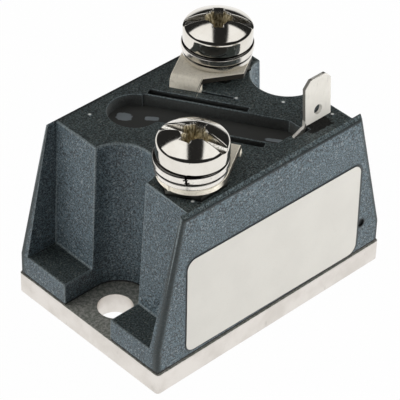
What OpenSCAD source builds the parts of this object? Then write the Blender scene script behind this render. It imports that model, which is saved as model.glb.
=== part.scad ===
// Power rectifier diode module: flat metal base, moulded housing, two screw
// terminals set cornerwise on top, one push-on tab and a blank label.
// Length runs along X, the label faces -Y, the base rests on Z = 0.

/* [Base plate] */
// Length of the base plate
base_len = 41; // [40:0.5:46]
// Width of the base plate
base_wid = 27.6; // [27.2:0.2:30]
// Thickness of the base plate
base_thk = 3.2; // [2:0.2:5]
// Corner radius of the base plate
base_corner = 0.5; // [0.3:0.1:3]
// Diameter of the two mounting holes
hole_d = 4.8; // [4.2:0.1:5.4]
// Distance from each end of the base to the middle of its hole
hole_edge = 5; // [4.6:0.1:5.2]

/* [Housing] */
// Height of the housing above its seal
body_h = 22.7; // [21:0.1:26]
// Height of the foot that runs out to the ends
foot_h = 3.1; // [2:0.1:5]
// Thickness of the adhesive seal under the housing
seal_thk = 0.4; // [0.2:0.1:0.8]
// Radius of the screw channel at the top
chan_r_top = 4.7; // [4.5:0.05:4.8]
// Radius of the screw channel at the foot
chan_r_foot = 4.45; // [4.2:0.05:4.5]
// How deep the end recesses are cut in from the foot's end
end_recess = 4.9; // [4.5:0.1:5.2]
// Bevel along the top edge of the long sides
top_bevel = 0.5; // [0.2:0.1:0.8]

/* [Terminals] */
// Thickness of the strap sheet
strap_thk = 0.8; // [0.6:0.1:1.2]
// Width of the strap where it rises from the lid
riser_w = 4.28; // [3.6:0.02:4.4]
// Width of the strap over the nut, and of its round end
plate_w = 9.2; // [8.8:0.1:9.3]
// Gap between the lid and the strap above it
lid_gap = 0.9; // [0.6:0.1:1.4]
// Thickness of the flat washer
flat_thk = 1; // [0.6:0.1:1.6]
// Diameter of the flat washer
flat_d = 9.4; // [9:0.1:10]
// Thickness of the spring washer
spring_thk = 1.25; // [0.8:0.05:1.6]
// Diameter of the spring washer
spring_d = 9.8; // [9:0.1:10]
// Diameter of the screw head
head_d = 9.45; // [8.6:0.05:9.8]
// Height of the straight side of the screw head
head_side = 2.35; // [1.8:0.05:3]
// Height of the dome on the screw head
head_dome = 1.4; // [1:0.1:2]
// Width of the driving slot
slot_w = 1.3; // [1:0.1:1.6]

/* [Tab] */
// Thickness of the tab sheet
tab_thk = 0.5; // [0.4:0.05:0.8]
// Width of the tab
tab_w = 4.7; // [4:0.1:4.8]
// Height of the tab above the lid
tab_h = 6.6; // [5:0.1:8]
// Diameter of the hole in the tab
tab_hole = 1.4; // [1:0.1:1.8]
// Backward lean of the tab in degrees
tab_lean = 4; // [0:1:6]

/* [Label] */
// How far each end of the label stays back from the end of the top
label_end = 0.15; // [0:0.05:2]
// Height of the label
label_h = 15; // [12:0.5:17]
// Thickness of the label
label_thk = 0.1; // [0.06:0.02:0.15]

/* [Hidden] */
$fn = 64;

// How far a cutting shape runs past the face it cuts
past = 1;
// Length that clears the whole part
beyond = 80;

// Levels, from the base up
seal_z = base_thk + seal_thk;
foot_z = seal_z + foot_h;
top_z = seal_z + body_h;

// Housing outline: the foot, then the drafted walls above it
hole_pitch = base_len - 2 * hole_edge;
end_gap = 0.1;
side_gap = 0.2;
foot_x = base_len / 2 - end_gap;
foot_y = base_wid / 2 - side_gap;
wing_lean = 4.45;
top_x = foot_x - wing_lean;
side_draft = 0.5;
top_y = foot_y - side_draft;
face_x = foot_x - end_recess;
face_draft = 0.87;
wing_foot = 1.6;
wing_top = 0.6;
wing_y_foot = foot_y - wing_foot;
wing_y_top = top_y - wing_top;
chan_back = 0.65;
chan_x = hole_pitch / 2 - chan_back;
seal_inset = 0.15;
bevel_z = top_z - top_bevel;
bevel_y = drafted(foot_y, top_y, bevel_z);

// Sealed space inside the housing
side_wall = 2;
end_wall = 2.3;
chan_wall = 1.15;
bay_wall = 1.3;
space_y = foot_y - side_wall;
space_x = chan_x - chan_r_top - chan_wall;
bay_x = face_x - end_wall;
bay_y = chan_r_top + bay_wall;
lid_thk = 3.8;
roof_z = top_z - lid_thk;

// Terminal pattern: turned axes u and v, and the screw axis
turn = -58.8;
screw_in = 5.75;
screw_x = face_x - screw_in;
screw_y = 8;
screw_u = screw_x * cos(turn) + screw_y * sin(turn);
screw_v = screw_y * cos(turn) - screw_x * sin(turn);

// Recess in the lid, and the groove along each of its sides, in shares of
// the distance from the middle to the strap's riser
riser_front = -7.03;
riser_v = screw_v + riser_front;
recess_depth = 1.85;
resin_z = top_z - recess_depth;
resin_under = 2.5;
gel_z = roof_z - resin_under;
band_share = 0.064;
half_share = 0.48;
groove_share = 0.189;
round_share = 0.67;
band_v = band_share * riser_v;
band_half = half_share * riser_v;
rib_thk = 0.25;
groove_w = groove_share * riser_v;
groove_u0 = -8.75;
groove_u1 = 4.85;
groove_depth = 1.6;
round_r = round_share * riser_v;
round_drop = 0.27;
round_wall = 2.05;
round_v = band_v + band_half - round_r - round_drop;
round_y = top_y - round_wall - round_r;
round_x = (round_y * cos(turn) - round_v) / sin(turn);
recess_side = 0.45;
recess_front = 0.05;

// Nuts, their pockets and the screws
nut_af = 8;
nut_h = 4;
nut_bore = 5;
nut_flare = 1.7;
pocket_gap = 0.1;
strap_z = top_z + lid_gap;
plate_z = strap_z + strap_thk;
flat_z = plate_z + flat_thk;
head_z = flat_z + spring_thk;
nut_z = strap_z - nut_h;
shank_d = 4.9;
shank_len = 9.95;
washer_bore = 5.3;
tip_bore = 5.5;
tip_gap = 0.8;
tip_z = head_z - shank_len;
tower_r = 6;
tower_floor = 2;
slot_depth = 1.5;
slot_back = 45;
slot_front = -73;
cross_w = 1.1;
cross_span = 2.5;
cross_depth = 2.7;
cross_tip = 0.7;
split_w = 0.3;
split_at = 40;
split_tilt = 10;
// How far the washers under the front screw have slipped aside
slip = [0.13, -0.12, 0];

// Straps, measured from the screw axis in the turned axes
plate_left = -plate_w / 2;
plate_right = plate_w / 2;
plate_step = 0.6;
slant_v = -3.5;
bend_r = 1;
nub_at = 66.5;
nub_w = 0.8;
nub_in = 0.35;
slit_gap = 0.05;
slit_end = 4.6;
slit_w = 0.4;
slit_depth = 1.2;

// Circuit stack, from the base up
ceramic_gap = 0.5;
ceramic_x = 2 * (space_x - ceramic_gap);
ceramic_y = 20;
ceramic_thk = 1;
pad_side = 1;
pad_x = ceramic_x - 2 * pad_side;
pad_y = 19;
pad_thk = 1;
pad_z = base_thk + ceramic_thk;
stack_z = pad_z + pad_thk;
chip_v = -1;
disc_r = 4;
lower_thk = 0.6;
chip_r = 3.7;
chip_thk = 0.4;
upper_r = 3.2;
upper_thk = 0.8;
chip_z = stack_z + lower_thk;
upper_z = chip_z + chip_thk;
tongue_z = upper_z + upper_thk;
tongue_w = 3.8;
tongue_side = 1.8;
foot_len = 2.25;

// Tab, its arm and its leg
tab_in = 7.05;
tab_x = face_x - tab_in;
tab_y = -9.9;
tab_clear = 0.1;
tab_chamfer = 1;
tab_hole_up = 1.6;
leg_shift = 2.25;
leg_x = tab_x - leg_shift;
leg_w = 1.6;
arm_drop = 0.75;
arm_h = 1.3;
leg_gap = 0.4;
leg_front = 0.7;
leg_right = 0.25;
leg_back = 0.1;
leg_foot_x = 1.3;
leg_foot_y = 2;

// Small marks left by the mould
pip_r = 0.35;
pip_h = 0.1;
pips = [[5 - face_x, 10.55], [2.75 - face_x, -11.4], [face_x - 9.4, 0.55], [face_x - 5.4, -4.15],
  [face_x - 2.45, -10.25]];
dimple_r = 0.55;
dimple_depth = 0.3;
dimple_in = 3.65;
dimple_x = foot_x - dimple_in;
dimple_z = 8.1;
label_x = 0.4;
label_len = 2 * (top_x - label_end);
label_z = 11.35;
label_tilt = 0.9;
label_corner = 1.4;

// Half-width of a drafted face at height z, from its foot and top values
function drafted(low, high, z) = low + (high - low) * (z - foot_z) / (top_z - foot_z);
// Radius of a screw channel at height z
function chan_r(z) = chan_r_foot + (chan_r_top - chan_r_foot) * (z - seal_z) / body_h;

// Rectangle with round corners, centred
module round_rect(l, w, r) {
  square([l - 2 * r, w], center = true);
  square([l, w - 2 * r], center = true);
  for (sx = [-1, 1], sy = [-1, 1])
    translate([sx * (l / 2 - r), sy * (w / 2 - r)])
      circle(r = r);
}

// Profile in X and Z, run out along Y
module along_y(points) {
  rotate([90, 0, 0])
    linear_extrude(beyond, center = true)
      polygon(points);
}

// Profile in Y and Z, run out along X
module along_x(points) {
  rotate([90, 0, 90])
    linear_extrude(beyond, center = true)
      polygon(points);
}

// Both ends, or both corners, of the part
module twice() {
  children();
  rotate([0, 0, 180])
    children();
}

// Box from its low and high corners
module span(low, high) {
  translate(low)
    cube(high - low);
}

module at_screw() {
  translate([screw_x, screw_y, 0])
    children();
}

// Frame of a strap: origin on the screw axis, X and Y along u and v
module strap_frame() {
  at_screw()
    rotate([0, 0, turn])
      children();
}

// Foot outline with its screw channels, drawn in by an inset
module foot_outline(inset) {
  difference() {
    square([2 * (foot_x - inset), 2 * (foot_y - inset)], center = true);
    twice() {
      translate([chan_x, 0])
        circle(r = chan_r_foot + inset);
      translate([chan_x, -chan_r_foot - inset])
        square([beyond, 2 * (chan_r_foot + inset)]);
    }
  }
}

// Outline of the sealed space
module space_outline() {
  square([2 * space_x, 2 * space_y], center = true);
  for (s = [-1, 1])
    translate([0, s * (bay_y + space_y) / 2])
      square([2 * bay_x, space_y - bay_y], center = true);
}

// Outline of the recess in the lid
module recess_outline() {
  intersection() {
    rotate(turn)
      translate([round_x * cos(turn) + round_y * sin(turn), band_v - band_half])
        square([beyond, 2 * band_half]);
    translate([tab_x - recess_side - beyond, tab_y + recess_front])
      square(beyond);
  }
  translate([round_x, round_y])
    circle(r = round_r);
  translate([leg_x - leg_gap, tab_y - leg_front])
    square([tab_x + leg_right - leg_x + leg_gap, leg_front + tab_thk + leg_back]);
}

// Groove beside the recess, behind a thin rib
module side_groove(side) {
  rotate([0, 0, turn])
    translate([0, band_v, top_z - groove_depth])
      rotate([0, 0, side])
        translate([groove_u0, band_half + rib_thk, 0])
          cube([groove_u1 - groove_u0, groove_w, groove_depth + past]);
}

// Screw channel, round at its inner end and open at the outer end
module channel() {
  low = seal_z - past;
  high = top_z + past;
  translate([chan_x, 0, low])
    cylinder(h = high - low, r1 = chan_r(low), r2 = chan_r(high));
  intersection() {
    along_x([[-chan_r(low), low], [chan_r(low), low], [chan_r(high), high], [-chan_r(high), high]]);
    span([chan_x, -beyond, low], [beyond, beyond, high]);
  }
}

// Recess between the wings of one end
module end_pocket() {
  high = top_z + past;
  face_high = drafted(face_x, face_x - face_draft, high);
  wing_high = drafted(wing_y_foot, wing_y_top, high);
  intersection() {
    along_y([[face_x, foot_z], [beyond, foot_z], [beyond, high], [face_high, high]]);
    along_x([[-wing_y_foot, foot_z], [wing_y_foot, foot_z], [wing_high, high], [-wing_high, high]]);
  }
}

// Outer block of the housing
module block() {
  intersection() {
    along_y([[-foot_x, seal_z], [foot_x, seal_z], [foot_x, foot_z], [top_x, top_z], [-top_x, top_z],
      [-foot_x, foot_z]]);
    along_x([[-foot_y, seal_z], [foot_y, seal_z], [foot_y, foot_z], [bevel_y, bevel_z],
      [bevel_y - top_bevel, top_z], [top_bevel - bevel_y, top_z], [-bevel_y, bevel_z], [-foot_y, foot_z]]);
  }
}

// Column under the lid that holds a nut and the screw's tip
module tower() {
  low = tip_z - tip_gap - tower_floor;
  at_screw()
    translate([0, 0, low])
      cylinder(h = roof_z - low + past, r = tower_r);
}

// Space inside the housing, below the lid and up through the recess
module inner_space(low, high) {
  intersection() {
    union() {
      difference() {
        translate([0, 0, base_thk])
          linear_extrude(roof_z - base_thk)
            space_outline();
        twice()
          tower();
      }
      translate([0, 0, roof_z - past])
        linear_extrude(beyond)
          recess_outline();
    }
    span([-beyond, -beyond, low], [beyond, beyond, high]);
  }
}

// Nut pocket with its bore for the screw's tip
module nut_pocket() {
  strap_frame()
    translate([0, 0, nut_z])
      cylinder(h = beyond, d = (nut_af + pocket_gap) / cos(30), $fn = 6);
  at_screw()
    translate([0, 0, tip_z - tip_gap])
      cylinder(h = beyond, d = tip_bore);
}

// Slit in the lid for a strap, and the narrow groove that runs on beside it
module strap_slit() {
  strap_frame() {
    span([plate_left - slit_gap, riser_front - slit_gap, roof_z - past],
      [plate_left + riser_w + slit_gap, riser_front + strap_thk + slit_gap, top_z + past]);
    span([plate_left + riser_w, riser_front - slit_gap, top_z - slit_depth],
      [slit_end, riser_front - slit_gap + slit_w, top_z + past]);
  }
}

module base_plate() {
  color("silver")
    difference() {
      linear_extrude(base_thk)
        round_rect(base_len, base_wid, base_corner);
      for (s = [-1, 1])
        translate([s * hole_pitch / 2, 0, -past])
          cylinder(h = base_thk + 2 * past, d = hole_d);
    }
}

module bond_seal() {
  color("dimgray")
    translate([0, 0, base_thk])
      linear_extrude(seal_thk)
        difference() {
          foot_outline(seal_inset);
          space_outline();
        }
}

module housing() {
  color([0.2, 0.22, 0.22]) {
    difference() {
      block();
      twice() {
        channel();
        end_pocket();
        nut_pocket();
        strap_slit();
      }
      inner_space(base_thk, beyond);
      side_groove(0);
      side_groove(180);
      translate([dimple_x, dimple_depth - drafted(foot_y, top_y, dimple_z), dimple_z])
        rotate([90, 0, 0])
          cylinder(h = past, r = dimple_r, $fn = 32);
    }
    for (p = pips)
      translate([p[0], p[1], top_z - pip_h])
        cylinder(h = 2 * pip_h, r = pip_r, $fn = 8);
  }
}

module ceramic_insulator() {
  color("white")
    translate([-ceramic_x / 2, -ceramic_y / 2, base_thk])
      cube([ceramic_x, ceramic_y, ceramic_thk]);
}

module cathode_plate() {
  color("chocolate")
    translate([-pad_x / 2, -pad_y / 2, pad_z])
      cube([pad_x, pad_y, pad_thk]);
}

// Round piece of the circuit stack
module stack_disc(z, r, h) {
  rotate([0, 0, turn])
    translate([0, chip_v, z])
      cylinder(h = h, r = r);
}

module lower_disc() {
  color("gray")
    stack_disc(stack_z, disc_r, lower_thk);
}

module diode_chip() {
  color("slategray")
    stack_disc(chip_z, chip_r, chip_thk);
}

module upper_disc() {
  color("gray")
    stack_disc(upper_z, upper_r, upper_thk);
}

// Outline of the strap over the nut: round end with a small nub, one side slanted
module plate_outline(bend_v) {
  difference() {
    union() {
      circle(d = plate_w);
      polygon([[plate_left, bend_v], [plate_left + riser_w, bend_v],
        [plate_left + riser_w, riser_front + plate_step], [plate_right, slant_v], [plate_right, 0],
        [plate_left, 0]]);
      rotate(nub_at)
        translate([plate_w / 2 - nub_in, 0])
          rotate(45)
            square(nub_w, center = true);
    }
    circle(d = tip_bore);
  }
}

// Strap from its riser's foot up through the lid and over the nut
module strap(low) {
  bend_v = riser_front + bend_r;
  strap_frame()
    translate([plate_left, riser_front, low])
      cube([riser_w, strap_thk, plate_z - bend_r - low]);
  strap_frame()
    intersection() {
      translate([plate_left, bend_v, plate_z - bend_r])
        rotate([0, 90, 0])
          difference() {
            cylinder(h = riser_w, r = bend_r);
            translate([0, 0, -past])
              cylinder(h = riser_w + 2 * past, r = bend_r - strap_thk);
          }
      span([plate_left, riser_front, plate_z - bend_r], [plate_right, bend_v, plate_z]);
    }
  strap_frame()
    translate([0, 0, strap_z])
      linear_extrude(strap_thk)
        plate_outline(bend_v);
}

module strap_cathode() {
  color("lightgray") {
    strap(stack_z);
    strap_frame()
      translate([plate_left, riser_front + strap_thk - foot_len, stack_z])
        cube([riser_w, foot_len, strap_thk]);
  }
}

module strap_anode() {
  left_u = screw_u + plate_left;
  back_v = screw_v + riser_front + strap_thk;
  color("lightgray")
    rotate([0, 0, 180]) {
      strap(tongue_z);
      rotate([0, 0, turn])
        translate([0, 0, tongue_z])
          linear_extrude(strap_thk)
            polygon([[left_u, back_v], [left_u + riser_w, back_v], [tongue_w / 2, tongue_w / 2 - chip_v],
              [tongue_w / 2, -chip_v - tongue_w / 2], [-tongue_w / 2, -chip_v - tongue_w / 2],
              [left_u, back_v - tongue_side]]);
    }
}

// Sheet in X and Z, its front face on the tab's plane
module tab_sheet(points) {
  translate([0, tab_y + tab_thk, 0])
    rotate([90, 0, 0])
      linear_extrude(tab_thk)
        polygon(points);
}

module tab_terminal() {
  low = top_z + tab_clear;
  high = low + tab_h;
  right = tab_x + tab_w;
  mid_y = tab_y + tab_thk / 2;
  color("gainsboro") {
    translate([0, mid_y, low])
      rotate([-tab_lean, 0, 0])
        translate([0, -mid_y, -low])
          difference() {
            tab_sheet([[tab_x, low], [right, low], [right, high - tab_chamfer], [right - tab_chamfer, high],
              [tab_x + tab_chamfer, high], [tab_x, high - tab_chamfer]]);
            translate([(tab_x + right) / 2, tab_y - past, low + tab_hole_up])
              rotate([-90, 0, 0])
                cylinder(h = tab_thk + 2 * past, d = tab_hole, $fn = 32);
          }
    tab_sheet([[leg_x, stack_z], [leg_x + leg_w, stack_z], [leg_x + leg_w, low - arm_h],
      [tab_x + leg_back, low - arm_h / 2], [tab_x + leg_back, low + tab_thk], [tab_x, low + tab_thk],
      [tab_x, low], [leg_x + tab_thk, low - arm_drop], [leg_x, low - arm_h]]);
    translate([leg_x, tab_y, stack_z])
      cube([leg_foot_x, leg_foot_y, tab_thk]);
  }
}

// Everything that stands in the gel or the resin
module inner_parts() {
  ceramic_insulator();
  cathode_plate();
  lower_disc();
  diode_chip();
  upper_disc();
  strap_cathode();
  strap_anode();
  tab_terminal();
}

module gel_fill() {
  color([0.8, 0.8, 0.7])
    difference() {
      inner_space(base_thk, gel_z);
      inner_parts();
    }
}

module epoxy_fill() {
  color([0.1, 0.1, 0.1])
    difference() {
      inner_space(gel_z, resin_z);
      inner_parts();
    }
}

// Hexagon nut, its upper corners chamfered
module nut() {
  strap_frame()
    translate([0, 0, nut_z])
      difference() {
        intersection() {
          cylinder(h = nut_h, d = nut_af / cos(30), $fn = 6);
          cylinder(h = nut_h, r1 = nut_af / 2 + nut_flare * nut_h, r2 = nut_af / 2);
        }
        translate([0, 0, -past])
          cylinder(h = nut_h + 2 * past, d = nut_bore);
      }
}

module nut_back() {
  color("darkgray")
    nut();
}

module nut_front() {
  color("darkgray")
    rotate([0, 0, 180])
      nut();
}

module flat_washer() {
  at_screw()
    translate([0, 0, plate_z])
      difference() {
        cylinder(h = flat_thk, d = flat_d);
        translate([0, 0, -past])
          cylinder(h = flat_thk + 2 * past, d = washer_bore);
      }
}

module flat_washer_back() {
  color("silver")
    flat_washer();
}

module flat_washer_front() {
  color("silver")
    rotate([0, 0, 180])
      translate(slip)
        flat_washer();
}

// Spring washer cut through by a tilted split
module spring_washer() {
  at_screw()
    translate([0, 0, flat_z])
      difference() {
        cylinder(h = spring_thk, d = spring_d);
        translate([0, 0, -past])
          cylinder(h = spring_thk + 2 * past, d = washer_bore);
        rotate([0, 0, split_at])
          translate([0, 0, spring_thk / 2])
            rotate([split_tilt, 0, 0])
              translate([0, -split_w / 2, -spring_thk])
                cube([spring_d, split_w, 2 * spring_thk]);
      }
}

module spring_washer_back() {
  color("silver")
    spring_washer();
}

module spring_washer_front() {
  color("silver")
    rotate([0, 0, 180])
      translate(slip)
        spring_washer();
}

// Pan head screw with a slot across a cross recess
module screw(slot_at) {
  crown = head_z + head_side + head_dome;
  dome_r = (head_d * head_d / 4 + head_dome * head_dome) / (2 * head_dome);
  at_screw()
    difference() {
      union() {
        translate([0, 0, tip_z])
          cylinder(h = shank_len + head_side / 2, d = shank_d);
        intersection() {
          translate([0, 0, head_z])
            cylinder(h = head_side + head_dome, d = head_d);
          translate([0, 0, crown - dome_r])
            sphere(r = dome_r, $fn = 96);
        }
      }
      rotate([0, 0, slot_at]) {
        translate([-head_d, -slot_w / 2, crown - slot_depth])
          cube([2 * head_d, slot_w, head_dome + slot_depth]);
        intersection() {
          translate([0, 0, crown - cross_depth])
            cylinder(h = cross_depth + past, r1 = cross_tip, r2 = cross_span + past / 2);
          translate([0, 0, crown]) {
            cube([cross_w, 4 * cross_span, 2 * cross_depth + past], center = true);
            cube([4 * cross_span, cross_w, 2 * cross_depth + past], center = true);
          }
        }
      }
    }
}

module screw_back() {
  color("silver")
    screw(slot_back);
}

module screw_front() {
  color("silver")
    rotate([0, 0, 180])
      screw(slot_front);
}

module label() {
  outer_low = foot_y + label_thk;
  outer_high = bevel_y + label_thk;
  color("white")
    intersection() {
      along_x([[-foot_y, seal_z], [-foot_y, foot_z], [-bevel_y, bevel_z], [-outer_high, bevel_z],
        [-outer_low, foot_z], [-outer_low, seal_z]]);
      translate([label_x, 0, label_z])
        rotate([90, 0, 0])
          rotate([0, 0, -label_tilt])
            linear_extrude(beyond)
              round_rect(label_len, label_h, label_corner);
    }
}

base_plate();
bond_seal();
housing();
ceramic_insulator();
cathode_plate();
lower_disc();
diode_chip();
upper_disc();
strap_cathode();
strap_anode();
tab_terminal();
gel_fill();
epoxy_fill();
nut_back();
nut_front();
flat_washer_back();
flat_washer_front();
spring_washer_back();
spring_washer_front();
screw_back();
screw_front();
label();
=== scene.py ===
import math

import bmesh
import bpy
from mathutils import Matrix, Vector


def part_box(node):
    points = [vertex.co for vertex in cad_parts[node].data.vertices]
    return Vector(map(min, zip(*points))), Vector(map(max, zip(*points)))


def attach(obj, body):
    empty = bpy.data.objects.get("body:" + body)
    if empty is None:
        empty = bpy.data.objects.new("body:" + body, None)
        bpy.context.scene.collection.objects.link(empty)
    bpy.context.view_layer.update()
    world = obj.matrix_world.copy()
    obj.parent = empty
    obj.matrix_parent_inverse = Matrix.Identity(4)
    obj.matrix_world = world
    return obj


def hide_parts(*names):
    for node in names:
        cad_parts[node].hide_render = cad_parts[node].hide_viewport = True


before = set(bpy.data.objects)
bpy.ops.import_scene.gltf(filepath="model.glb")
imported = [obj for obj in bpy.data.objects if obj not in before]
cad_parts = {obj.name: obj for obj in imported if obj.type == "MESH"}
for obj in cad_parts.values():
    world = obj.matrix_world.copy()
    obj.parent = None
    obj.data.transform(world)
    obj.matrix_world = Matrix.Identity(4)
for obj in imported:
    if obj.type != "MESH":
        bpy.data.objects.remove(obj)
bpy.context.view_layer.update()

MM = 0.001


def corners(node):
    """Lowest and highest corner of a CAD node, in millimetres, to the nearest micron."""
    return [[round(value / MM, 3) for value in corner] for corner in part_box(node)]


def middle_of(node, first, second):
    """Middle of a CAD node's box, along two of its axes."""
    low, high = corners(node)
    return (low[first] + high[first]) / 2, (low[second] + high[second]) / 2


# Housing, in millimetres: its walls slope outwards, down from the foot of its bevel
HOUSING_LOW, HOUSING_HIGH = corners("housing")
FOOT_X, FOOT_Y = HOUSING_HIGH[:2]
PIP_H = 0.1
TOP_Z = HOUSING_HIGH[2] - PIP_H
BEVEL = 0.5
BEVEL_X = 16.06
BEVEL_Y = 13.11
END_SLOPE = 0.227
SIDE_SLOPE = 0.0256
RECESS_X = 13.6
RECESS_Y = 12.4
CHANNEL_X = 14.85
CHANNEL_R = 4.7
DIMPLE_X, DIMPLE_Z, DIMPLE_R = 16.75, 8.1, 0.55
# Painted shadow on the lid beside the tab: its middle and half sizes
TAB_SHADOW_X, TAB_SHADOW_Y = 9.9, -10.65
TAB_SHADOW_HALF_X, TAB_SHADOW_HALF_Y = 2.2, 1.05
PIPS = ((-10.55, 10.55), (-12.8, -11.4), (6.15, 0.55), (10.15, -4.15), (13.1, -10.25))

# Label, before it is turned on the side that it's stuck on
LABEL_X, LABEL_Z = middle_of("label", 0, 2)
LABEL_HALF_LONG = 15.8
LABEL_HALF_HIGH = 7.5
LABEL_CORNER = 1.4
LABEL_TILT = math.radians(0.9)

# The painted shadow line along its edge: half its width at the right end, and its width above and below
EDGE_SHADOW_END_HALF = 0.13
EDGE_SHADOW_LONG = 0.07

# Straps and tab: the turn of the terminals, and the riser measured from the screw's axis
TURN = math.radians(-58.8)
TURN_COS, TURN_SIN = math.cos(TURN), math.sin(TURN)
SCREW_X, SCREW_Y = middle_of("nut_back", 0, 1)
SCREW_ACROSS = SCREW_X * TURN_COS + SCREW_Y * TURN_SIN
SCREW_ALONG = SCREW_Y * TURN_COS - SCREW_X * TURN_SIN
RISER_ACROSS = -2.46
RISER_HALF = 2.14
STRAP_Z = corners("nut_back")[1][2]
TAB_HOLE_X = 10.8

# Screws: the head's dome runs into a round shoulder
TIP_Z = corners("screw_back")[0][2]
HEAD_Z = corners("spring_washer_back")[1][2]
HEAD_R = corners("screw_back")[1][0] - SCREW_X
CROWN_Z = HEAD_Z + 3.75
DOME_R = 8.19
SHOULDER_R = 0.75
SHOULDER_Z = CROWN_Z - 1.9
HEAD_FOOT_R = 0.34
SLOT_HALF = 0.65
SLOT_Z = CROWN_Z - 1.5
SLOT_BELLY = 0.45
SLOT_LIP = 0.22
CROSS_Z = CROWN_Z - 2.7
CROSS_HALF = 0.5
CROSS_TAPER = 0.06
CROSS_REACH = 2.5
CROSS_LIP = 0.16
CROSS_TIP = 0.75
WING_RISE = 1.55
HOLLOW_RISE = 2.6
FLUTES = 8
FLUTE_DEEP = 0.07
SHANK_R = 2.45
COLLAR = 0.15
PITCH = 0.8
THREAD_DEEP = 0.35
THREAD_TOP = HEAD_Z - 0.4
THREAD_FOOT = TIP_Z + 0.2
RUN_OUT = 0.4
TIP_BEVEL = 0.3
SHANK_RINGS = int((HEAD_Z - COLLAR - TIP_Z - TIP_BEVEL) / PITCH * 4) - 1

# Grid of the head's top: even steps in the middle, then ever closer ones out to the rim
GRID_EVEN = 2.7
GRID_STEP = 0.06
GRID_CLOSE = 34
GRID_GAP = 0.012

# Heights between which the seams of the washers are darkened as painted shade
SHADED_SEAMS = ((28.7, 29.04), (30.08, 30.46))

# Painted reflections on the resin: middle, turn and half sizes
REFLECTION_PATCHES = (
    (-5.8, 9.15, 2.26, 1.05, 0.8),
    (-3.35, 6.4, 2.3, 0.9, 0.42),
    (5.45, -7.7, -0.95, 1.5, 0.34),
)


# Materials

class Socket:
    """One output of a finish's nodes. Arithmetic on it adds Math nodes."""

    def __init__(self, finish, output):
        self.finish = finish
        self.output = output

    def __add__(self, other):
        return self.finish.math("ADD", self, other)

    __radd__ = __add__

    def __sub__(self, other):
        return self.finish.math("SUBTRACT", self, other)

    def __rsub__(self, other):
        return self.finish.math("SUBTRACT", other, self)

    def __mul__(self, other):
        return self.finish.math("MULTIPLY", self, other)

    __rmul__ = __mul__

    def __truediv__(self, other):
        return self.finish.math("DIVIDE", self, other)

    def __rtruediv__(self, other):
        return self.finish.math("DIVIDE", other, self)

    def __pow__(self, other):
        return self.finish.math("POWER", self, other)

    def __abs__(self):
        return self.finish.math("ABSOLUTE", self)


class Finish:
    """A material, its nodes, and the tint that has been laid on so far."""

    def __init__(self, name, tree=None):
        if tree is None:
            self.material = bpy.data.materials.new(name)
            self.material.use_nodes = True
            tree = self.material.node_tree
        self.tree = tree
        self.tree.nodes.clear()
        self.tint = None

    def node(self, kind, settings=None, inputs=None, output=0):
        """Any node: its settings first, then the values or links of its sockets."""
        made = self.tree.nodes.new("ShaderNode" + kind)
        for name, value in (settings or {}).items():
            setattr(made, name, value)
        for name, value in (inputs or {}).items():
            self.plug(made.inputs[name], value)
        return Socket(self, made.outputs[output]) if made.outputs else made

    def plug(self, slot, value):
        if isinstance(value, Socket):
            self.tree.links.new(value.output, slot)
        elif isinstance(value, (tuple, list)) and slot.type == "RGBA":
            slot.default_value = (*value[:3], 1)
        else:
            slot.default_value = value

    def math(self, operation, *values):
        return self.node("Math", {"operation": operation}, dict(enumerate(values)))

    def length(self, across, along):
        """Distance of a point whose two offsets are given."""
        return self.math("SQRT", across ** 2 + along ** 2)

    def place(self):
        """The point on the piece, in millimetres."""
        point = self.node("TexCoord", output="Object")
        return self.node("VectorMath", {"operation": "SCALE"}, {"Vector": point, "Scale": 1 / MM})

    def axes(self, point):
        split = self.node("SeparateXYZ", inputs={"Vector": point})
        nodes = split.output.node.outputs
        return [Socket(self, nodes[i]) for i in range(3)]

    def facing(self):
        """The three parts of the surface's own direction."""
        return self.axes(self.node("NewGeometry", output="True Normal"))

    def noise(self, point, size, detail=2.0, rough=0.5, stretch=(1, 1, 1), shift=0.0):
        """Noise from 0 to 1 whose grains are about size millimetres across."""
        inputs = {0: point, 1: tuple(k / size for k in stretch), 2: (shift,) * 3}
        scaled = self.node("VectorMath", {"operation": "MULTIPLY_ADD"}, inputs)
        inputs = {"Vector": scaled, "Scale": 1.0, "Detail": detail, "Roughness": rough}
        return self.node("TexNoise", inputs=inputs)

    def ramp(self, value, low, high, to_low=0.0, to_high=1.0):
        """value from low to high, spread smoothly over to_low to to_high."""
        inputs = {0: value, 1: low, 2: high, 3: to_low, 4: to_high}
        return self.node("MapRange", {"interpolation_type": "SMOOTHSTEP"}, inputs)

    def fade(self, value, low, high, full=1.0):
        """full up to low, and nothing from high on."""
        return self.ramp(value, low, high, full, 0.0)

    def mix(self, share, first, second, blend="MIX"):
        inputs = {0: share, 6: first, 7: second}
        return self.node("Mix", {"data_type": "RGBA", "blend_type": blend}, inputs, 2)

    def lay(self, share, colour):
        """Lay a colour over the tint so far, by that share."""
        self.tint = self.mix(share, self.tint, colour)

    def bump(self, height, deep, strength=1.0, under=None):
        """Relief, deep millimetres between heights 0 and 1."""
        inputs = {"Height": height, "Distance": deep * MM, "Strength": strength}
        if under is not None:
            inputs["Normal"] = under
        return self.node("Bump", inputs=inputs)

    def surface(self, **inputs):
        """The finished material, with the tint as its colour."""
        named = {name.replace("_", " "): value for name, value in inputs.items()}
        shader = self.node("BsdfPrincipled", inputs={"Base Color": self.tint, **named})
        self.node("OutputMaterial", inputs={"Surface": shader})
        return self.material


def label_reach(finish, at, shift=0.0, less_long=0.0, less_high=0.0):
    """Distance out from the label's inner rectangle, past which its corners are round."""
    x, y, z = finish.axes(at)
    across, rise = x - (LABEL_X + shift), z - LABEL_Z
    c, s = math.cos(LABEL_TILT), math.sin(LABEL_TILT)
    wide = abs(across * c - rise * s) - (LABEL_HALF_LONG - less_long - LABEL_CORNER)
    high = abs(across * s + rise * c) - (LABEL_HALF_HIGH - less_high - LABEL_CORNER)
    return finish.length(finish.math("MAXIMUM", wide, 0.0), finish.math("MAXIMUM", high, 0.0))


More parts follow.
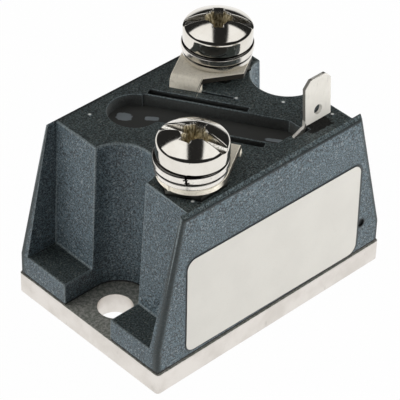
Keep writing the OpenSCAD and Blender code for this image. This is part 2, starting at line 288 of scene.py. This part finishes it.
def lay_speckle(finish, at, cloud, grain):
    """Blue-grey grains with pale flecks and dark pits."""
    fleck = finish.ramp(finish.noise(at, 0.26, 1, 0.5, shift=4.0), 0.61, 0.68)
    pit = finish.ramp(finish.noise(at, 0.3, 1, 0.5, shift=9.0), 0.60, 0.68)
    finish.tint = finish.mix(cloud, (0.067, 0.091, 0.104), (0.084, 0.113, 0.129))
    finish.tint = finish.mix(1.0, finish.tint, grain * 1.45 + 0.25, "MULTIPLY")
    finish.lay(fleck * 0.8, (0.26, 0.29, 0.30))
    finish.lay(pit * 0.6, (0.025, 0.033, 0.036))


def lay_recess_shade(finish, x, y, z):
    """Painted shade: darker on the walls of the recess, below the lid and clear of the screw channels."""
    inward = finish.math("MAXIMUM", abs(x) / RECESS_X, abs(y) / RECESS_Y)
    channel = finish.length(abs(x) - CHANNEL_X, y)
    below = finish.fade(z, TOP_Z - 0.2, TOP_Z - 0.05)
    recess_shade = finish.fade(inward, 0.98, 1.0) * below * finish.ramp(channel, CHANNEL_R + 0.1, CHANNEL_R + 0.3)
    finish.lay(recess_shade * 0.85, (0.076, 0.078, 0.073))


def lay_edge_shade(finish, x, y, z, up):
    """Painted shade: dark lines on the bevel and the far edge of the lid, and a dark band down each corner.
    """
    line = finish.fade(abs(z - (TOP_Z - 0.6)), 0.1, 0.3) * finish.ramp(abs(y), 12.9, 13.0)
    finish.lay(line * 0.9, (0.008, 0.010, 0.010))
    finish.lay(finish.ramp(y, 12.1, 12.5) * up * 0.85, (0.006, 0.007, 0.007))
    down = finish.math("MAXIMUM", TOP_Z - BEVEL - z, 0.0)
    wide = finish.math("MINIMUM", BEVEL_X + down * END_SLOPE, FOOT_X) - abs(x)
    deep = finish.math("MINIMUM", BEVEL_Y + down * SIDE_SLOPE, FOOT_Y) - abs(y)
    finish.lay(finish.fade(wide * 1.5 + deep, 0.5, 1.4) * 0.85, (0.02, 0.026, 0.025))


def lay_side_shade(finish, at):
    """On the label's side only: a painted shadow round the label, and painted shade inside the dimple."""
    x, y, z = finish.axes(at)
    beside = label_reach(finish, at) - LABEL_CORNER
    finish.lay(finish.fade(beside, 0.1, 0.35) * finish.fade(y, -13, -12, 0.75), (0.02, 0.024, 0.025))
    # Painted shade inside the dimple
    dent = finish.length(x - DIMPLE_X, z - DIMPLE_Z)
    dark = finish.fade(dent, DIMPLE_R, DIMPLE_R + 0.4) * finish.fade(y, -13, -12, 0.92)
    finish.lay(dark, (0.012, 0.013, 0.013))


def lay_pips(finish, x, y, z):
    """Pale spots on top of the small round marks that the mould left."""
    top = finish.ramp(z, TOP_Z + 0.02, TOP_Z + 0.07)
    for pip_x, pip_y in PIPS:
        off = finish.length(x - pip_x, y - pip_y)
        finish.lay(finish.fade(off, 0.1, 0.3) * top, (0.85, 0.88, 0.86))


def moulded_plastic(edge_highlight=False):
    """Dark blue-grey moulding, speckled light and dark, with painted highlights on its rounded edges.
    Its top is darker than its sides as painted shade, with painted shade in the recess and a painted shadow
    beside the tab."""
    finish = Finish("housing_edge_highlight" if edge_highlight else "housing_plastic")
    at = finish.place()
    x, y, z = finish.axes(at)
    up = finish.ramp(finish.facing()[2], 0.4, 0.9)
    cloud = finish.ramp(finish.noise(at, 2.2, 3, 0.65), 0.32, 0.68)
    grain = finish.ramp(finish.noise(at, 0.21, 3, 0.65), 0.42, 0.58)
    fine = finish.noise(at, 0.12, 2, 0.6, shift=2.0)
    lay_speckle(finish, at, cloud, grain)
    # Painted shade: the lid's upward faces are darkened and warmed, standing in for the weaker light on top
    finish.lay(up, finish.mix(1.0, finish.tint, (0.74, 0.71, 0.63), "MULTIPLY"))
    lay_recess_shade(finish, x, y, z)
    # Painted shadow on the lid beside the tab, made rougher there too
    out = finish.math("MAXIMUM", abs(x - TAB_SHADOW_X) / TAB_SHADOW_HALF_X, abs(y - TAB_SHADOW_Y) / TAB_SHADOW_HALF_Y)
    tab_shadow = finish.fade(out + (cloud - 0.5) * 0.4, 0.85, 1.05) * up
    finish.lay(tab_shadow * 0.97, (0.004, 0.004, 0.003))
    lay_edge_shade(finish, x, y, z, up)
    lay_side_shade(finish, at)
    lay_pips(finish, x, y, z)
    if edge_highlight:
        # Painted highlight on the rounded edges, except along the long outer sides
        edge = finish.fade(abs(y), 12.85, 12.95)
        finish.lay(edge * (0.35 + grain * 0.5), (0.22, 0.26, 0.27))
    rough = 0.42 + grain * 0.2 + tab_shadow * 0.3
    relief = finish.bump(fine, 0.03, 0.7, finish.bump(grain, 0.02, 0.6))
    return finish.surface(Roughness=rough, Normal=relief)


def painted_reflections(finish, at):
    """1 on the ragged pale patches of painted reflection on the resin."""
    x, y = finish.axes(at)[:2]
    ragged = (finish.noise(at, 0.9, 2, 0.6, shift=1.0) - 0.5) * 0.7
    reflection = 0.0
    for patch_x, patch_y, turn, half_long, half_wide in REFLECTION_PATCHES:
        c, s = math.cos(turn), math.sin(turn)
        along = abs((x - patch_x) * c + (y - patch_y) * s) / half_long
        across = abs((y - patch_y) * c - (x - patch_x) * s) / half_wide
        reach = (along ** 4 + across ** 4) ** 0.25 + ragged
        reflection = finish.math("MAXIMUM", reflection, finish.fade(reach, 0.9, 1.1))
    return reflection


def casting_resin():
    """Black potting resin: glossy and slightly wavy, with a few pale patches of painted reflection."""
    finish = Finish("casting_resin")
    at = finish.place()
    wave = finish.noise(at, 2.4, 2, 0.5)
    dust = finish.ramp(finish.noise(at, 0.2, 2, 0.6), 0.68, 0.8)
    reflection = painted_reflections(finish, at)
    finish.tint = finish.mix(dust * 0.2, (0.080, 0.081, 0.077), (0.15, 0.15, 0.145))
    # Painted reflection: pale patches on the resin
    finish.lay(reflection, finish.mix(wave, (0.22, 0.25, 0.27), (0.38, 0.42, 0.44)))
    rough = 0.1 + finish.ramp(finish.noise(at, 1.1, 3, 0.6), 0.35, 0.7) * 0.12
    relief = finish.bump(reflection, 0.03, 0.5, finish.bump(wave, 0.05, 0.5))
    return finish.surface(Roughness=rough, Normal=relief, IOR=1.6)


def lay_drive_reflections(finish, at):
    """Painted reflections in the slot and the cross of both screws: bright streaks, gold in their middle.
    Gives 1 where the head is cut away, and 1 in the gold middle."""
    x, y, z = finish.axes(at)
    out_squared = (abs(x) - SCREW_X) ** 2 + (abs(y) - SCREW_Y) ** 2
    under_dome = finish.math("MAXIMUM", DOME_R ** 2 - out_squared, 0.0)
    dome = finish.math("SQRT", under_dome) + (CROWN_Z - DOME_R)
    cut = finish.ramp(dome - z, 0.12, 0.4) * finish.fade(out_squared, 19.0, 20.0)
    deep = cut * finish.fade(out_squared, 2.9, 4.4)
    reflection_streak = finish.ramp(finish.noise(at, 0.22, 3, 0.6, stretch=(1, 1, 0.06), shift=5.0), 0.38, 0.62)
    # Painted reflections: bright streaks in the slot and cross, gold in the middle
    finish.lay(cut * 0.6, finish.mix(reflection_streak, (0.40, 0.37, 0.32), (1.0, 0.98, 0.93)))
    finish.lay(deep, finish.mix(reflection_streak, (0.22, 0.18, 0.10), (0.80, 0.70, 0.47)))
    return cut, deep


def bright_nickel(name, light, dull, rough, smear=0.08, drive=False, shaded_seams=()):
    """Plated steel: bright, with faint brushing and a little tarnish, and darkened by painted shade in the
    seams between the washers."""
    finish = Finish(name)
    at = finish.place()
    cloud = finish.ramp(finish.noise(at, 2.2, 3, 0.6), 0.35, 0.7)
    fine = finish.noise(at, 0.12, 2, 0.6)
    spot = finish.ramp(finish.noise(at, 0.6, 2, 0.6, shift=7.0), 0.66, 0.8)
    finish.tint = finish.mix(cloud * 0.5, light, dull)
    finish.lay(spot * 0.35, tuple(0.45 * k for k in dull))
    polish = rough + cloud * smear + finish.ramp(fine, 0.4, 0.8) * 0.05
    shine = 1.0
    if drive:
        cut, deep = lay_drive_reflections(finish, at)
        shine = 1 - deep * 0.5
        polish = polish + cut * 0.12
    if shaded_seams:
        z = finish.axes(at)[2]
        for low, high in shaded_seams:
            # Painted shade in the seams between the washers
            off = abs(z - (low + high) / 2) - (high - low) / 2 + spot * 0.15
            finish.lay(finish.fade(off, -0.07, 0.07) * (0.98 - cloud * 0.25), (0.02, 0.019, 0.017))
    return finish.surface(Metallic=shine, Roughness=polish, Normal=finish.bump(fine, 0.004, 0.5))


def lay_strap_edge_shade(finish, at, across, along, z):
    """Scuffed, with painted shade on the sheared edges of the plate but for the riser's bright face."""
    facing = finish.facing()
    square = abs(facing[1] * TURN_COS - facing[0] * TURN_SIN)
    beside = finish.math("SIGN", along) * across - SCREW_ACROSS
    riser = finish.ramp(square, 0.6, 0.72)
    riser = riser * finish.fade(abs(beside - RISER_ACROSS), RISER_HALF, RISER_HALF + 0.05)
    edge = finish.fade(abs(facing[2]), 0.45, 0.7) * finish.ramp(z, STRAP_Z - 0.05, STRAP_Z + 0.05)
    edge = edge * (1 - riser) * finish.ramp(SCREW_ALONG - abs(along), -2.5, -1.0)
    scuff = finish.ramp(finish.noise(at, 0.35, 3, 0.7, shift=11.0), 0.45, 0.7)
    finish.lay(scuff * 0.2, (0.45, 0.40, 0.31))
    # Painted shade on the sheared edges
    finish.lay(edge * 0.97, (0.012, 0.010, 0.007))


def lay_tab_edges(finish, x, z):
    """The tab's sheared sides, dark away from its hole."""
    edge = finish.fade(abs(finish.facing()[1]), 0.35, 0.6) * finish.ramp(z, STRAP_Z - 0.2, STRAP_Z + 0.2)
    finish.lay(edge * finish.ramp(abs(x - TAB_HOLE_X), 0.9, 1.1) * 0.8, (0.10, 0.095, 0.08))


def sheet_metal(name, light, dull, rough, folded=False):
    """Tinned sheet with long fine scratches and scuffs. Its sheared edges are dark, on the straps as painted
    shade.
    """
    finish = Finish(name)
    at = finish.place()
    x, y, z = finish.axes(at)
    across = x * TURN_COS + y * TURN_SIN
    along = y * TURN_COS - x * TURN_SIN
    lie = finish.node("CombineXYZ", inputs={"X": across * 9.0, "Y": along * 0.55, "Z": z * 0.55})
    scratch = finish.noise(lie, 1.0, 4.0, 0.7)
    cloud = finish.ramp(finish.noise(at, 1.8, 3, 0.6), 0.35, 0.68)
    nick = finish.ramp(scratch, 0.58, 0.72)
    finish.tint = finish.mix(cloud * 0.6, light, dull)
    finish.lay(nick * 0.3, tuple(0.4 * k for k in dull))
    if folded:
        lay_strap_edge_shade(finish, at, across, along, z)
    else:
        lay_tab_edges(finish, x, z)
    polish = rough + cloud * 0.1 + nick * 0.1
    relief = finish.bump(scratch, 0.012, 0.6, finish.bump(cloud, 0.02, 0.3))
    return finish.surface(Metallic=0.3, Roughness=polish, Normal=relief)


def base_metal():
    """Nickel-plated base: matt on top, darkened there with a mottled painted reflection, brighter round its
    sides, with a few handling marks.
    """
    finish = Finish("base_metal")
    at = finish.place()
    cloud = finish.ramp(finish.noise(at, 4.0, 4, 0.65), 0.35, 0.68)
    fine = finish.noise(at, 0.15, 3, 0.7)
    mark = finish.ramp(finish.noise(at, 1.1, 2, 0.6, stretch=(1, 1, 0.4), shift=3.0), 0.66, 0.78)
    reflection_mottle = finish.ramp(finish.noise(at, 0.45, 4, 0.75, shift=6.0), 0.38, 0.6)
    up = finish.ramp(finish.facing()[2], 0.5, 0.9)
    finish.tint = finish.mix(cloud * 0.5, (0.81, 0.77, 0.725), (0.69, 0.65, 0.60))
    finish.lay(mark * 0.25, (0.42, 0.40, 0.36))
    # Painted reflection: the top darkened and greened, mottled
    finish.lay(up * (0.3 + reflection_mottle * 0.6), (0.235, 0.25, 0.205))
    rough = 0.36 + cloud * 0.1 + finish.ramp(fine, 0.4, 0.7) * 0.08
    return finish.surface(Metallic=1 - up * 0.7, Roughness=rough, Normal=finish.bump(fine, 0.01, 0.6))


def label_paper():
    """Blank white label: satin paper with a thin painted shadow along its edge."""
    finish = Finish("label_paper")
    at = finish.place()
    fibre = finish.noise(at, 0.25, 4, 0.7)
    cloud = finish.ramp(finish.noise(at, 5.0, 2, 0.5), 0.35, 0.65)
    finish.tint = finish.mix(cloud * 0.5, (0.64, 0.623, 0.578), (0.60, 0.583, 0.542))
    finish.lay(finish.ramp(fibre, 0.52, 0.75) * 0.3, (0.53, 0.513, 0.477))
    out = label_reach(finish, at, -EDGE_SHADOW_END_HALF, EDGE_SHADOW_END_HALF, EDGE_SHADOW_LONG) - LABEL_CORNER
    # Painted shadow along the label's edge
    finish.lay(finish.ramp(out, -0.04, 0.02), (0.05, 0.055, 0.055))
    return finish.surface(Roughness=0.5 + fibre * 0.15, Normal=finish.bump(fibre, 0.006, 0.5))


def matt(name, light, dark, size, rough, metal=0.0):
    """A plain matt finish with grain, for the seal and the parts inside."""
    finish = Finish(name)
    grain = finish.noise(finish.place(), size, 3, 0.6)
    finish.tint = finish.mix(finish.ramp(grain, 0.3, 0.7), dark, light)
    relief = finish.bump(grain, 0.01, 0.5)
    return finish.surface(Metallic=metal, Roughness=rough + grain * 0.12, Normal=relief)


FINISHES = {
    "base_metal": base_metal(),
    "adhesive": matt("adhesive", (0.045, 0.045, 0.045), (0.02, 0.02, 0.02), 0.5, 0.5),
    "housing_plastic": moulded_plastic(),
    # The housing's rounded edges, with a painted highlight
    "housing_edge_highlight": moulded_plastic(edge_highlight=True),
    "ceramic": matt("ceramic", (0.80, 0.79, 0.76), (0.72, 0.71, 0.68), 0.3, 0.5),
    "copper": matt("copper", (0.72, 0.38, 0.24), (0.58, 0.29, 0.18), 0.8, 0.3, 1.0),
    "disc_metal": matt("disc_metal", (0.52, 0.52, 0.52), (0.42, 0.42, 0.43), 0.4, 0.35, 1.0),
    "silicon": matt("silicon", (0.16, 0.17, 0.20), (0.12, 0.13, 0.16), 0.6, 0.15, 1.0),
    "gel": matt("gel", (0.60, 0.60, 0.56), (0.52, 0.52, 0.48), 2.0, 0.15),
    "casting_resin": casting_resin(),
    "strap_metal": sheet_metal("strap_metal", (1.0, 0.94, 0.80), (0.95, 0.88, 0.74), 0.55, True),
    "tab_metal": sheet_metal("tab_metal", (0.76, 0.735, 0.675), (0.71, 0.685, 0.625), 0.42),
    # The nuts are near black as painted shade, for the shadow they sit in under the plates and washers
    "nut_steel": bright_nickel("nut_steel", (0.10, 0.10, 0.09), (0.06, 0.06, 0.05), 0.4),
    "washer_steel": bright_nickel("washer_steel", (0.84, 0.81, 0.76), (0.7, 0.66, 0.6), 0.2, shaded_seams=SHADED_SEAMS),
    "spring_steel": bright_nickel("spring_steel", (0.84, 0.81, 0.76), (0.68, 0.64, 0.58), 0.16, shaded_seams=SHADED_SEAMS),
    "screw_steel": bright_nickel(
        "screw_steel", (0.80, 0.77, 0.71), (0.72, 0.68, 0.61), 0.06, 0.04, True, SHADED_SEAMS),
    "label_paper": label_paper(),
}

SLOTS = {
    "base_plate": "base_metal",
    "bond_seal": "adhesive",
    "housing": "housing_plastic",
    "ceramic_insulator": "ceramic",
    "cathode_plate": "copper",
    "lower_disc": "disc_metal",
    "diode_chip": "silicon",
    "upper_disc": "disc_metal",
    "strap_cathode": "strap_metal",
    "strap_anode": "strap_metal",
    "tab_terminal": "tab_metal",
    "gel_fill": "gel",
    "epoxy_fill": "casting_resin",
    "nut_back": "nut_steel",
    "nut_front": "nut_steel",
    "flat_washer_back": "washer_steel",
    "flat_washer_front": "washer_steel",
    "spring_washer_back": "spring_steel",
    "spring_washer_front": "spring_steel",
    "screw_back": "screw_steel",
    "screw_front": "screw_steel",
    "label": "label_paper",
}

for node, slot in SLOTS.items():
    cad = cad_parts[node]
    cad.data.materials.clear()
    cad.data.materials.append(FINISHES[slot])


# Rounded copies of the solids

# Points this near are one. Faces bent by less than FLAT are joined, and only an edge bent by more than
# BENT is rounded
WELD = 0.002 * MM
FLAT = math.radians(0.1)
BENT = math.radians(24)

# Bounds between parts of the housing: its outer corners, its wings, its ends, its inside and its bevel
OUTER_Y = 12.9
WING_Y = 11.9
END_X = 14.2
INSIDE_X, INSIDE_Z = 14.4, 24.0
BEVEL_Z = 25.0

# The outer edges of both kinds of washer lie farther out than this
WASHER_OUT = 4.2


def piece_from(form, name, slot, sharp=30):
    """An object from a bmesh, shaded smooth but for edges sharper than that many degrees."""
    for face in form.faces:
        face.smooth = True
    for edge in form.edges:
        edge.smooth = len(edge.link_faces) == 2 and edge.calc_face_angle(0) < math.radians(sharp)
    mesh = bpy.data.meshes.new(name)
    form.to_mesh(mesh)
    form.free()
    mesh.materials.append(FINISHES[slot])
    piece = bpy.data.objects.new(name, mesh)
    bpy.context.scene.collection.objects.link(piece)
    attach(piece, "root")
    return piece


def softened(node, softness, segments=2):
    """A copy of a CAD node with its triangles joined and its edges rounded, shown in place of the node.
    softness(edge) gives the rounding in millimetres."""
    form = bmesh.new()
    form.from_mesh(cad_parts[node].data)
    bmesh.ops.remove_doubles(form, verts=form.verts, dist=WELD)
    bmesh.ops.dissolve_limit(form, angle_limit=FLAT, verts=form.verts, edges=form.edges)
    weight = form.edges.layers.float.new("bevel_weight_edge")
    for edge in form.edges:
        if len(edge.link_faces) == 2 and edge.calc_face_angle(0) > BENT:
            edge[weight] = softness(edge)
    piece = piece_from(form, node + "_finished", SLOTS[node])
    bevel = piece.modifiers.new("soft_edges", "BEVEL")
    bevel.limit_method = "WEIGHT"
    bevel.width = MM
    bevel.segments = segments
    bevel.use_clamp_overlap = False
    bevel.loop_slide = False
    bevel.harden_normals = True
    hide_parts(node)
    return piece


def middle(edge):
    return (edge.verts[0].co + edge.verts[1].co) / (2 * MM)


def climb(edge):
    """How far an edge rises, in millimetres."""
    return abs(edge.verts[0].co.z - edge.verts[1].co.z) / MM


def hidden_or_sharp(at):
    """True under the housing, inside it, on the marks on its lid and along its bevel."""
    wide, deep = abs(at.x), abs(at.y)
    below = at.z < HOUSING_LOW[2] + 0.1
    inside = at.z < INSIDE_Z and wide < INSIDE_X
    mark = at.z > TOP_Z + 0.02
    bevel = at.z > BEVEL_Z and deep > WING_Y
    return below or inside or mark or bevel


def housing_softness(edge):
    """Large on the outer corners, fine round the recess, and none on what is hidden or sharp."""
    at = middle(edge)
    wide, deep, rise = abs(at.x), abs(at.y), climb(edge)
    if hidden_or_sharp(at):
        return 0.0
    # The outer corners, from the foot up along the wings
    if deep > OUTER_Y:
        return 0.5 if rise > 1 else 0.08
    # The inner faces of the wings, rounder where they meet the end walls
    if deep > WING_Y:
        return 0.13 if 14 < wide < 16 and rise > 5 else 0.06
    # The ends: rounder on foot and lid than along the tall edges of the channels
    if wide > END_X:
        return 0.06 if rise > 5 else 0.22
    # The mouths of the screw channels
    if abs(math.hypot(wide - CHANNEL_X, deep) - CHANNEL_R) < 0.1:
        return 0.25
    # The short edges of round outlines on the lid
    if edge.calc_length() < 0.3 * MM and at.z > TOP_Z - 0.2:
        return 0.0
    return 0.06


def above(level, rounded):
    """The same rounding for every edge above that level, and none below it."""
    def softness(edge):
        return rounded if middle(edge).z > level else 0.0
    return softness


def ring_edges(rounded):
    """Rounding for the two outer edges of a washer, and none for the others."""
    def softness(edge):
        at = middle(edge)
        out = math.hypot(abs(at.x) - SCREW_X, abs(at.y) - SCREW_Y)
        return rounded if out > WASHER_OUT and climb(edge) < 0.1 else 0.0
    return softness


case = softened("housing", housing_softness, 3)
# The rounded faces of the edges take the finish with the painted highlight
case.data.materials.append(FINISHES["housing_edge_highlight"])
case.modifiers["soft_edges"].material = 1
softened("base_plate", lambda edge: 0.07)
softened("label", lambda edge: 0.02, 1)
softened("strap_cathode", above(TOP_Z - 1, 0.13))
softened("strap_anode", above(TOP_Z - 1, 0.13))
softened("tab_terminal", above(TOP_Z - 1.2, 0.06))
for where in ("back", "front"):
    softened("nut_" + where, lambda edge: 0.0, 1)
    softened("flat_washer_" + where, ring_edges(0.24), 4)
    softened("spring_washer_" + where, ring_edges(0.34), 4)


# Screws

def rounding(distance, radius):
    """How far a rounded edge has dropped, that distance from its wall."""
    if distance >= radius:
        return 0.0
    return radius - math.sqrt(radius ** 2 - (radius - max(distance, 0.0)) ** 2)


def dome_height(out):
    """Height of the uncut head, that far from its axis: a dome, then a round shoulder."""
    inner = HEAD_R - SHOULDER_R
    if out > inner + SHOULDER_R * inner / (DOME_R - SHOULDER_R):
        return SHOULDER_Z + math.sqrt(max(SHOULDER_R ** 2 - (out - inner) ** 2, 0.0))
    return CROWN_Z - DOME_R + math.sqrt(DOME_R ** 2 - out ** 2)


def head_height(s, t):
    """Height of the screw's top, s along the slot and t across it."""
    out = math.hypot(s, t)
    skin = dome_height(out)
    # The slot, with a round lip and a hollowed floor
    across = abs(t) - SLOT_HALF
    if across >= 0:
        z = min(skin, max(SLOT_Z, skin - rounding(across, SLOT_LIP)))
    else:
        z = min(skin, SLOT_Z - SLOT_BELLY * (SLOT_HALF ** 2 - t ** 2))
    # The arms of the cross that lie across the slot, rising outwards
    wing = CROSS_Z + WING_RISE * max(abs(t) - CROSS_TIP, 0.0)
    beside = abs(s) - CROSS_HALF - CROSS_TAPER * abs(t)
    if beside < 0:
        z = min(z, wing)
    elif abs(t) < CROSS_REACH:
        z = min(z, max(wing, skin - rounding(beside, CROSS_LIP)))
    # The fluted hollow in the middle
    flute = FLUTE_DEEP * math.cos(FLUTES * math.atan2(t, s))
    return min(z, CROSS_Z + HOLLOW_RISE * max(out * (1 + flute) - CROSS_TIP, 0.0))


def spread(edge):
    """Places from -edge to edge for the head's grid."""
    even = [i * GRID_STEP for i in range(int(GRID_EVEN / GRID_STEP) + 1)]
    start = math.asin(even[-1] / edge)
    turn = (math.pi / 2 - start) / GRID_CLOSE
    half = even + [edge * math.sin(start + turn * i) for i in range(1, GRID_CLOSE + 1)]
    return [-p for p in half[:0:-1]] + half


def head_rows():
    """Where the rows of the head's grid lie across the slot, close together on its lips and walls."""
    lips = [SLOT_HALF + SLOT_LIP * (1 - math.cos(math.radians(a))) for a in range(0, 91, 15)]
    walls = lips + [SLOT_HALF - GRID_GAP, SLOT_HALF - 0.1]
    # The outermost rows stop just short of the rim, where a row has no length
    even = spread(HEAD_R * 0.9998)
    rows = [t for t in even if all(abs(abs(t) - wall) > GRID_GAP for wall in walls)]
    return sorted(rows + walls + [-wall for wall in walls])


def head_top(form):
    """The top of the head as a round grid. Gives its rim."""
    columns = [a / HEAD_R for a in spread(HEAD_R)]
    grid = []
    for t in head_rows():
        chord = math.sqrt(HEAD_R ** 2 - t ** 2)
        line = [(a * chord, t, head_height(a * chord, t)) for a in columns]
        grid.append([form.verts.new(Vector(point) * MM) for point in line])
    for low, high in zip(grid, grid[1:]):
        for i in range(len(columns) - 1):
            form.faces.new((low[i], low[i + 1], high[i + 1], high[i]))
    right = [line[-1] for line in grid[1:-1]]
    left = [line[0] for line in grid[-2:0:-1]]
    return grid[0] + right + grid[-1][::-1] + left


def screw_rings():
    """Radius and height of each ring below the rim: the head's side and foot, the shank and its tip."""
    rings = [(HEAD_R, SHOULDER_Z - 0.8), (HEAD_R, HEAD_Z + HEAD_FOOT_R)]
    for a in (math.radians(k) for k in (22, 45, 68, 90)):
        rings.append((HEAD_R - HEAD_FOOT_R * (1 - math.cos(a)), HEAD_Z + HEAD_FOOT_R * (1 - math.sin(a))))
    rings += [(SHANK_R + COLLAR, HEAD_Z), (SHANK_R, HEAD_Z - COLLAR)]
    rings += [(SHANK_R, HEAD_Z - COLLAR - i * PITCH / 4) for i in range(1, SHANK_RINGS + 1)]
    return rings + [(SHANK_R, TIP_Z + TIP_BEVEL), (SHANK_R - TIP_BEVEL, TIP_Z)]


def thread_cut(turn, z):
    """Depth of the right-hand thread at that angle and height. It runs out at both ends of the shank."""
    phase = (z / PITCH - turn / math.tau) % 1.0
    flank = min(max(2 * abs(2 * phase - 1) - 0.5, 0.0), 1.0)
    ends = min(max(min(THREAD_TOP - z, z - THREAD_FOOT) / RUN_OUT, 0.0), 1.0)
    return THREAD_DEEP * flank * ends


def pan_head_screw(where, slot_at, half_turn):
    """A screw whose head carries a slot and a cross recess, rounded at every lip."""
    form = bmesh.new()
    rim = head_top(form)
    for radius, z in screw_rings():
        ring = []
        for vert in rim:
            turn = math.atan2(vert.co.y, vert.co.x)
            flat = vert.co.xy.normalized() * (radius - thread_cut(turn, z)) * MM
            ring.append(form.verts.new((flat.x, flat.y, z * MM)))
        for i, vert in enumerate(rim):
            after = (i + 1) % len(rim)
            form.faces.new((ring[i], ring[after], rim[after], vert))
        rim = ring
    form.faces.new(rim[::-1])
    bmesh.ops.recalc_face_normals(form, faces=form.faces)
    place = Matrix.Translation(Vector((SCREW_X, SCREW_Y, 0)) * MM)
    form.transform(Matrix.Rotation(half_turn, 4, "Z") @ place @ Matrix.Rotation(slot_at, 4, "Z"))
    piece = piece_from(form, "screw_" + where + "_finished", "screw_steel", 55)
    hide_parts("screw_" + where)


pan_head_screw("back", math.radians(-45), 0.0)
pan_head_screw("front", math.radians(-73), math.pi)


# Stage

# Compass turn of the photograph's view, which the panels overhead share
VIEW_TURN = math.radians(45.81)
VIEW_COS, VIEW_SIN = math.cos(VIEW_TURN), math.sin(VIEW_TURN)


def camera():
    """The photograph's view: its compass turn, its dip and a slight roll."""
    dip, roll = math.radians(38.841), math.radians(1.62)
    aim, distance = Vector((2.243, 2.786, 10.0)), 308.634
    forward = Vector((VIEW_COS * math.cos(dip), VIEW_SIN * math.cos(dip), -math.sin(dip)))
    right = Vector((VIEW_SIN, -VIEW_COS, 0))
    up = right.cross(forward)
    side = right * math.cos(roll) + up * math.sin(roll)
    top = up * math.cos(roll) - right * math.sin(roll)
    lens = bpy.data.cameras.new("camera")
    lens.sensor_width = 36
    lens.lens = 205.8
    lens.clip_start = 0.01
    seat = bpy.data.objects.new("camera", lens)
    seat.matrix_world = Matrix((side, top, -forward)).transposed().to_4x4()
    seat.location = (aim - forward * distance) * MM
    bpy.context.scene.collection.objects.link(seat)
    bpy.context.scene.camera = seat


def lamp(name, azimuth, height, distance, size, power):
    """A soft oblong lamp, set by its compass angle and height in degrees. Gloss doesn't show it."""
    light = bpy.data.lights.new(name, "AREA")
    light.shape = "RECTANGLE"
    light.size, light.size_y = size
    light.energy = power
    seat = bpy.data.objects.new(name, light)
    seat.visible_camera = False
    seat.visible_glossy = False
    a, h = math.radians(azimuth), math.radians(height)
    out = Vector((math.cos(a) * math.cos(h), math.sin(a) * math.cos(h), math.sin(h)))
    aim = Vector((0, 0, 0.015))
    seat.location = aim + out * distance
    seat.rotation_euler = out.to_track_quat("Z", "Y").to_euler()
    bpy.context.scene.collection.objects.link(seat)


def light_path(finish, *kinds):
    """One socket for each kind of ray that's named."""
    path = finish.node("LightPath").output.node.outputs
    return [Socket(finish, path[kind]) for kind in kinds]


def floor():
    """White where it is seen, from the camera, off gloss or through glass, and matt for the shadow."""
    finish = Finish("floor_white")
    grain = finish.noise(finish.place(), 30.0, 2, 0.5)
    tint = finish.mix(grain, (0.80, 0.80, 0.80), (0.83, 0.83, 0.83))
    cloth = finish.node("BsdfDiffuse", inputs={"Color": tint})
    glow = finish.node("Emission", inputs={"Color": (1, 1, 1), "Strength": 1.0})
    seen, glossy, through = light_path(finish, "Is Camera Ray", "Is Glossy Ray", "Is Transmission Ray")
    white = finish.math("MINIMUM", seen + glossy + through, 1.0)
    both = finish.node("MixShader", inputs={0: white * 0.985, 1: cloth, 2: glow})
    finish.node("OutputMaterial", inputs={"Surface": both})
    form = bmesh.new()
    bmesh.ops.create_circle(form, cap_ends=True, radius=1.2, segments=96)
    mesh = bpy.data.meshes.new("floor")
    form.to_mesh(mesh)
    form.free()
    mesh.materials.append(finish.material)
    plane = bpy.data.objects.new("floor", mesh)
    plane.location.z = -0.02 * MM
    bpy.context.scene.collection.objects.link(plane)


def surroundings():
    """Plain studio: white to the camera and along the horizon, two soft panels overhead, grey between."""
    world = bpy.data.worlds.new("studio")
    world.use_nodes = True
    bpy.context.scene.world = world
    finish = Finish("studio", world.node_tree)
    seen = light_path(finish, "Is Camera Ray")[0]
    x, y, z = finish.axes(finish.node("TexCoord", output="Generated"))
    height = finish.math("MAXIMUM", z, 0.02)
    near = (x * -VIEW_COS - y * VIEW_SIN) / height
    aside = (y * VIEW_COS - x * VIEW_SIN) / height
    panels = finish.ramp(near, -0.74, -0.62) * finish.fade(near, 0.22, 0.34)
    panels = panels * finish.ramp(abs(aside + 0.075), 0.19, 0.26) * finish.fade(abs(aside - 0.2), 1.1, 1.3)
    horizon = finish.fade(z, 0.03, 0.14)
    studio = 0.02 + finish.math("MAXIMUM", panels * 1.05, horizon * 0.85)
    back = finish.node("Background", inputs={"Color": (1, 1, 1), "Strength": seen + (1 - seen) * studio})
    finish.node("OutputWorld", inputs={"Surface": back})


camera()
floor()
surroundings()
lamp("key", 318, 8, 0.5, (0.41, 0.1), 3.05)
lamp("side", 133, 8, 0.6, (0.5, 0.12), 1.8)
lamp("fill", 185, 12, 0.6, (0.4, 0.25), 1.1)
bpy.context.scene.view_settings.view_transform = "Standard"
